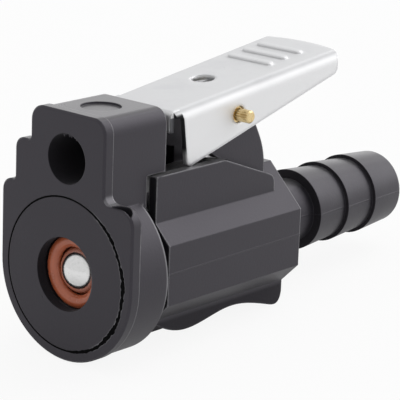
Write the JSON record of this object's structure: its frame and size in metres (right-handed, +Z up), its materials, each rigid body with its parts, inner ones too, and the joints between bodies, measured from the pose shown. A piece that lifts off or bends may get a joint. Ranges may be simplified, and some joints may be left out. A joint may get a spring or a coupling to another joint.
{
  "type": "quick disconnect coupling",
  "caption": "Female quick-disconnect coupling for a fuel hose: moulded body with spring check valve, sheet-metal latch lever and hose barb.",
  "frame": {"origin": "centre of the fuel port's mouth in the front face", "axes": "-Y out of the port towards the mating plug, +Y along the hose, +Z up towards the latch lever, +X right seen from the front"},
  "size_m": [0.0228, 0.0641, 0.0352],
  "materials": {
    "moulded_body": "satin",
    "moulded_disc": "satin",
    "seal_rubber": "satin",
    "ball_steel": "polished",
    "spring_steel": "satin",
    "lever_steel": "bright",
    "pin_brass": "bright"
  },
  "bodies": {
    "body": {"housing": "moulded_body", "port_insert": "moulded_disc", "port_seal": "seal_rubber", "pivot_pin": "pin_brass", "check_spring": "spring_steel", "lever_spring": "spring_steel"},
    "ball": {"check_ball": "ball_steel"},
    "lever": {"latch_lever": "lever_steel"}
  },
  "joints": [
    {"name": "lever_hinge", "type": "hinge", "parent": "body", "child": "lever", "pos_m": [0, 0.0251, 0.0178], "axis": [-1, 0, 0], "range_deg": [0, 8], "stiffness_Nm_per_rad": 0.03, "springref_deg": -28.65, "deforming": ["lever_spring"]},
    {"name": "ball_slide", "type": "slide", "parent": "body", "child": "ball", "axis": [0, 1, 0], "range_m": [0, 0.0035], "stiffness_N_per_m": 200, "springref_m": -0.001, "deforming": ["check_spring"]}
  ]
}
